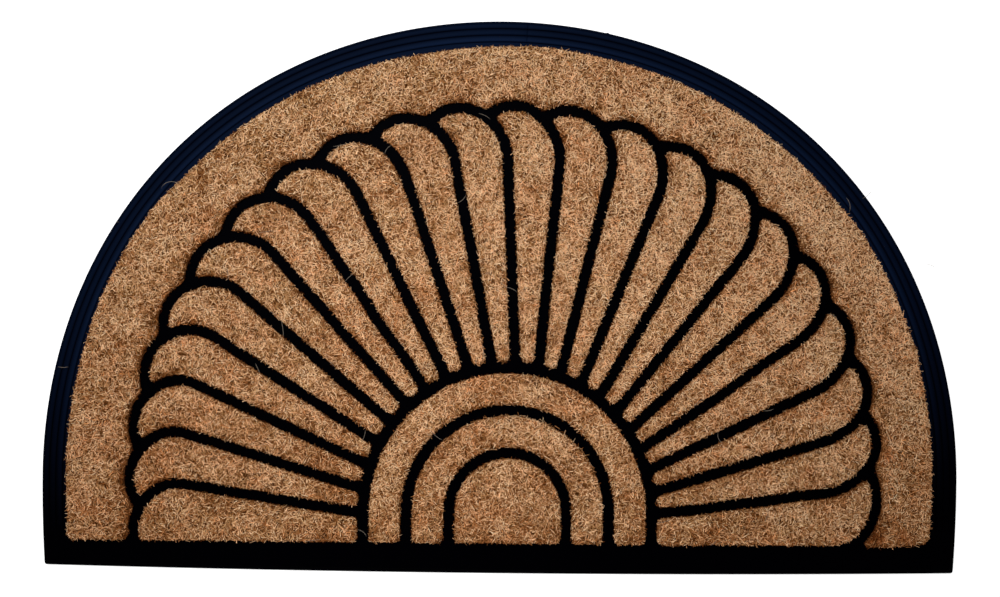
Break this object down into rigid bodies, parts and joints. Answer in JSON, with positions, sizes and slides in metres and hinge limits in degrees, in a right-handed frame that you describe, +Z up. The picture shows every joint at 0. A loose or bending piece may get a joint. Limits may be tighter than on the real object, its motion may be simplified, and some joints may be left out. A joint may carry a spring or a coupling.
{
  "type": "half-round coir doormat",
  "caption": "Half-round doormat of moulded rubber with coir pile panels: a scalloped border, a fan of hooked petals and arched bands around a half disc.",
  "frame": {"origin": "on the floor, under the middle of the mat's bounding box", "axes": "+X along the straight edge, +Y from the straight edge towards the top of the arch, +Z up out of the pile"},
  "size_m": [0.75, 0.4526, 0.013],
  "materials": {
    "rubber": "moulded, satin black with a bluish sheen",
    "coir": "dense cut coir pile, matt, natural tan"
  },
  "bodies": {
    "root": {"rubber_tray": "rubber", "coir_border": "coir", "petal_01": "coir", "petal_02": "coir", "petal_03": "coir", "petal_04": "coir", "petal_05": "coir", "petal_06": "coir", "petal_07": "coir", "petal_08": "coir", "petal_09": "coir", "petal_10": "coir", "petal_11": "coir", "petal_12": "coir", "petal_13": "coir", "petal_14": "coir", "petal_15": "coir", "petal_16": "coir", "petal_17": "coir", "petal_18": "coir", "petal_19": "coir", "petal_20": "coir", "petal_21": "coir", "petal_22": "coir", "inner_band": "coir", "outer_band": "coir", "half_disc": "coir"}
  },
  "joints": []
}
